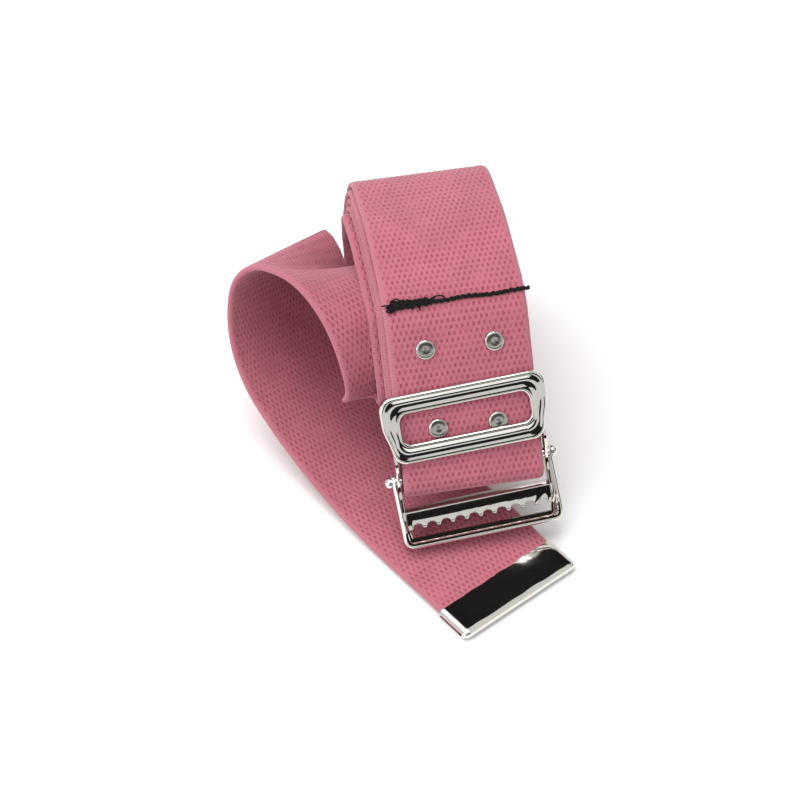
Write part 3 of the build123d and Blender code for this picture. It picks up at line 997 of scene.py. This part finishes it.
def plated_piece(name, bm, matrix, material, body, nodes, crease=38.0):
    bmesh.ops.transform(bm, matrix=matrix, verts=bm.verts)
    bmesh.ops.recalc_face_normals(bm, faces=bm.faces)
    piece = new_object(name, bm)
    smooth(piece, crease)
    piece.data.materials.append(material)
    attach(piece, body)
    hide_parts(*nodes)
    return piece


def shared_wear():
    return bpy.data.node_groups.get("Plating wear") or wear_group()


def nickel():
    made = bpy.data.materials.get("Polished nickel plate")
    return made or plated_material("Polished nickel plate", (0.74, 0.72, 0.68, 1.0), 0.05, shared_wear())


class GAITBELT_OT_lever(bpy.types.Operator):
    """Adds the lever: pressed slotted loop, two ears on the pin and the toothed jaw"""

    bl_idname = "gaitbelt.lever"
    bl_label = "Lever"

    def execute(self, context):
        bm = bmesh.new()
        add_loop(bm)
        add_ears(bm)
        add_jaw(bm)
        plated_piece("lever", bm, buckle_matrix(), nickel(), "lever", ["lever_frame"])
        return {"FINISHED"}


class GAITBELT_OT_bail(bpy.types.Operator):
    """Adds the bail: a channel bent to a U, its arms outside the ears"""

    bl_idname = "gaitbelt.bail"
    bl_label = "Bail"

    def execute(self, context):
        bm = bmesh.new()
        add_bail(bm)
        plated_piece("bail_channel", bm, buckle_matrix(BAIL_LIFT), nickel(), "bail", ["bail"])
        return {"FINISHED"}


class GAITBELT_OT_pin(bpy.types.Operator):
    """Adds the pivot pin with its ball heads"""

    bl_idname = "gaitbelt.pin"
    bl_label = "Pivot pin"

    def execute(self, context):
        half = BAIL_WIDTH / 2 + 0.1
        ball = [(0.01, 2.35), (0.9, 2.2), (1.7, 1.75), (2.15, 1.1), (2.3, 0.5), (2.2, 0.12)]
        ball.append((PIN_RADIUS, 0.0))
        profile = [(r, half + h) for r, h in ball]
        profile += [(r, -half - h) for r, h in reversed(ball)]
        bm = bmesh.new()
        turned_piece(bm, profile)
        aim = buckle_matrix() @ Matrix.Rotation(math.pi / 2, 4, "Y")
        plated_piece("pin", bm, aim, nickel(), "belt", ["pivot_pin"])
        return {"FINISHED"}


class GAITBELT_OT_rivets(bpy.types.Operator):
    """Adds the four rivets with their caps, posts and backs"""

    bl_idname = "gaitbelt.rivets"
    bl_label = "Rivets"

    def execute(self, context):
        satin = plated_material("Satin rivet nickel", (0.60, 0.58, 0.54, 1.0), 0.22, shared_wear(), 0.00006)
        cap = [(0.01, 0.80), (0.45, 0.82), (0.75, 0.92), (1.6, 0.94), (2.5, 0.92), (2.8, 0.84), (3.05, 0.8)]
        cap += [(3.3, 0.68), (3.5, 0.42), (3.6, 0.1), (3.6, -0.05), (1.5, -0.05), (1.5, -4.75), (3.6, -4.75)]
        cap += [(3.6, -5.4), (3.3, -5.55), (0.01, -5.55)]
        for number, (up, sideways) in enumerate(RIVET_PLACES, 1):
            back, height = leg_point(up, -THICK / 2)
            out = Vector((0, -INTO_LEG[0], -INTO_LEG[1]))
            lean = Vector((0.03 * (-1) ** number, 0, 0.02 * (number % 3 - 1)))
            aim = (out + lean).to_track_quat("Z", "Y").to_matrix().to_4x4()
            spot = Vector((ROLL_LEFT + WIDTH / 2 + sideways, FOLD_Y + back, height)) * MM
            bm = bmesh.new()
            turned_piece(bm, cap)
            matrix = Matrix.Translation(spot) @ aim @ Matrix.Scale(MM, 4)
            nodes = [f"rivet_cap_{number}", f"rivet_back_{number}"]
            plated_piece(f"rivet_{number}", bm, matrix, satin, "belt", nodes, 32.0)
        return {"FINISHED"}


class GAITBELT_OT_tip(bpy.types.Operator):
    """Adds the folded metal tip crimped over the webbing's cut end"""

    bl_idname = "gaitbelt.tip"
    bl_label = "Tip"

    def execute(self, context):
        half = WIDTH / 2 + TIP_WALL
        front = -TIP_LENGTH / 2
        mouth = TIP_LENGTH / 2
        top = THICK + 2 * TIP_WALL
        section = [(mouth, top), (mouth - 0.5, top), (mouth - 5, top), (0.0, top)]
        section += [(front + 3, top), (front + 1.2, top)]
        for k in range(1, 8):
            turn = math.pi * k / 8
            section.append((front + 1.2 - 1.2 * math.sin(turn), top / 2 + top / 2 * math.cos(turn)))
        section += [(front + 1.2, 0.0), (0.0, 0.0), (mouth - 0.4, 0.0), (mouth, 0.1), (mouth, 0.55)]
        section += [(mouth - 0.3, TIP_WALL), (front + 1.6, TIP_WALL), (front + 1.0, top / 2)]
        section += [(front + 1.6, top - TIP_WALL), (mouth - 0.3, top - TIP_WALL), (mouth + 0.05, top - 0.35)]
        rows = 89

        def place(row, column):
            x = -half + 2 * half * row / (rows - 1)
            y, z = section[column]
            edge = max(0.0, 1 - (half - abs(x)) / 2.2)
            wave = 0.45 * noise.noise(Vector((x * 0.22, 1.0, 0)))
            wave += 0.25 * noise.noise(Vector((x * 0.7, 5.0, 0)))
            if y > 0:
                y += wave * (y / mouth) * (1.0 if z > top / 2 else 0.2)
            if y < front + 3:
                y += 1.3 * edge ** 2.2
            if z > top / 2:
                z -= (z - top / 2) * 0.55 * edge ** 2
                z -= 0.10 * (1 - math.cos(math.pi * min(1.0, max(0.0, (y - front) / 3.0)))) / 2
            z += 0.05 * noise.noise(Vector((x * 0.15, y * 0.2, 9.0))) if z > 0.3 else 0.0
            return Vector((x, y, max(0.0, z)))

        bm = bmesh.new()
        wrapped_grid(bm, rows, len(section), place)
        matrix = Matrix.Rotation(math.radians(TIP_YAW), 4, "Z") @ Matrix.Scale(MM, 4)
        plated_piece("tip", bm, matrix, nickel(), "belt", ["metal_tip"], 50.0)
        return {"FINISHED"}


# ---- stage -----------------------------------------------------------------------------------------
def look_at(obj, target):
    obj.rotation_euler = (Vector(target) - obj.location).to_track_quat("-Z", "Y").to_euler()


def area_light(name, place, target, size, power, colour=(1.0, 1.0, 1.0)):
    data = bpy.data.lights.new(name, "AREA")
    data.shape = "RECTANGLE"
    data.size, data.size_y = size
    data.energy = power
    data.color = colour
    obj = bpy.data.objects.new(name, data)
    bpy.context.collection.objects.link(obj)
    obj.location = place
    look_at(obj, target)
    return obj


def card(name, place, target, size, material):
    """A flat card that only the polished metal sees."""
    bm = bmesh.new()
    bmesh.ops.create_grid(bm, x_segments=1, y_segments=1, size=0.5)
    obj = new_object(name, bm)
    obj.scale = (size[0], size[1], 1.0)
    obj.location = place
    obj.rotation_euler = (Vector(target) - Vector(place)).to_track_quat("Z", "Y").to_euler()
    obj.data.materials.append(material)
    obj.visible_camera = False
    obj.visible_diffuse = False
    obj.visible_shadow = False
    obj.visible_transmission = False
    return obj


def card_material():
    material, s, principled = start_material("Dark card")
    place = s.node("ShaderNodeTexCoord")
    grain = s.noise(place.outputs["Object"], 6.0, 2.0)
    dark = s.mix(grain, (0.006, 0.006, 0.007, 1.0), (0.02, 0.018, 0.018, 1.0))
    s.link(dark, principled.inputs["Base Color"])
    principled.inputs["Roughness"].default_value = 1.0
    principled.inputs["Specular IOR Level"].default_value = 0.0
    return material


class GAITBELT_OT_stage(bpy.types.Operator):
    """Adds the white floor, the soft lights, the dark cards and the camera"""

    bl_idname = "gaitbelt.stage"
    bl_label = "Stage"

    def execute(self, context):
        scene = context.scene
        settings = scene.gaitbelt_stage
        bm = bmesh.new()
        bmesh.ops.create_grid(bm, x_segments=1, y_segments=1, size=3.0)
        floor = new_object("floor", bm)
        floor.location = (0.0, 0.0, -0.0004)
        floor.data.materials.append(floor_material(tuple(settings.floor)))
        dark = card_material()
        card("card_back", (0.14, 0.62, 0.62), (0.0, 0.0, 0.0), (0.62, 0.34), dark)
        card("card_front", (-0.05, -0.90, 0.10), (0.0, 0.04, 0.08), (1.8, 0.26), dark)
        card("card_left", (-0.85, 0.05, 0.22), (0.0, 0.04, 0.04), (0.9, 0.16), dark)
        card("card_low", (0.10, -0.75, 0.64), (0.0, 0.04, 0.03), (0.9, 0.46), dark)
        card("card_right", (0.80, 0.0, 0.30), (0.0, 0.04, 0.04), (0.7, 0.30), dark)
        area_light("light_top", (-0.25, 0.15, 1.1), (-0.02, 0.09, 0.03), (0.9, 0.9), settings.key)
        area_light("light_left", (-1.0, -0.35, 0.6), (-0.02, 0.09, 0.03), (0.6, 0.6), settings.key * 0.45)
        world = bpy.data.worlds.new("Surround")
        scene.world = world
        world.use_nodes = True
        background = world.node_tree.nodes["Background"]
        background.inputs["Color"].default_value = (1.0, 1.0, 1.0, 1.0)
        background.inputs["Strength"].default_value = settings.world
        data = bpy.data.cameras.new("camera")
        data.lens = settings.lens
        data.sensor_width = 36.0
        data.clip_start = 0.01
        data.dof.use_dof = False
        camera = bpy.data.objects.new("camera", data)
        scene.collection.objects.link(camera)
        camera.location = (-0.1576, -0.6100, 0.7616)
        look_at(camera, (-0.0197, 0.0995, 0.0))
        scene.camera = camera
        scene.view_settings.view_transform = "Standard"
        return {"FINISHED"}


class GAITBELT_PT_parts(bpy.types.Panel):
    bl_idname = "GAITBELT_PT_parts"
    bl_label = "Gait Belt"
    bl_space_type = "VIEW_3D"
    bl_region_type = "UI"
    bl_category = "Gait Belt"

    def draw(self, context):
        for kind in OPERATORS:
            self.layout.operator(kind.bl_idname)


SETTINGS = (WebbingSettings, StageSettings)
OPERATORS = (
    GAITBELT_OT_webbing,
    GAITBELT_OT_seam,
    GAITBELT_OT_lever,
    GAITBELT_OT_bail,
    GAITBELT_OT_pin,
    GAITBELT_OT_rivets,
    GAITBELT_OT_tip,
    GAITBELT_OT_stage,
)


def register():
    for kind in SETTINGS + OPERATORS + (GAITBELT_PT_parts,):
        bpy.utils.register_class(kind)
    bpy.types.Scene.gaitbelt_webbing = bpy.props.PointerProperty(type=WebbingSettings)
    bpy.types.Scene.gaitbelt_stage = bpy.props.PointerProperty(type=StageSettings)


def unregister():
    del bpy.types.Scene.gaitbelt_stage
    del bpy.types.Scene.gaitbelt_webbing
    for kind in reversed(SETTINGS + OPERATORS + (GAITBELT_PT_parts,)):
        bpy.utils.unregister_class(kind)


def main():
    register()
    bpy.ops.gaitbelt.webbing()
    bpy.ops.gaitbelt.seam()
    bpy.ops.gaitbelt.lever()
    bpy.ops.gaitbelt.bail()
    bpy.ops.gaitbelt.pin()
    bpy.ops.gaitbelt.rivets()
    bpy.ops.gaitbelt.tip()
    bpy.ops.gaitbelt.stage()


if __name__ == "__main__":
    main()
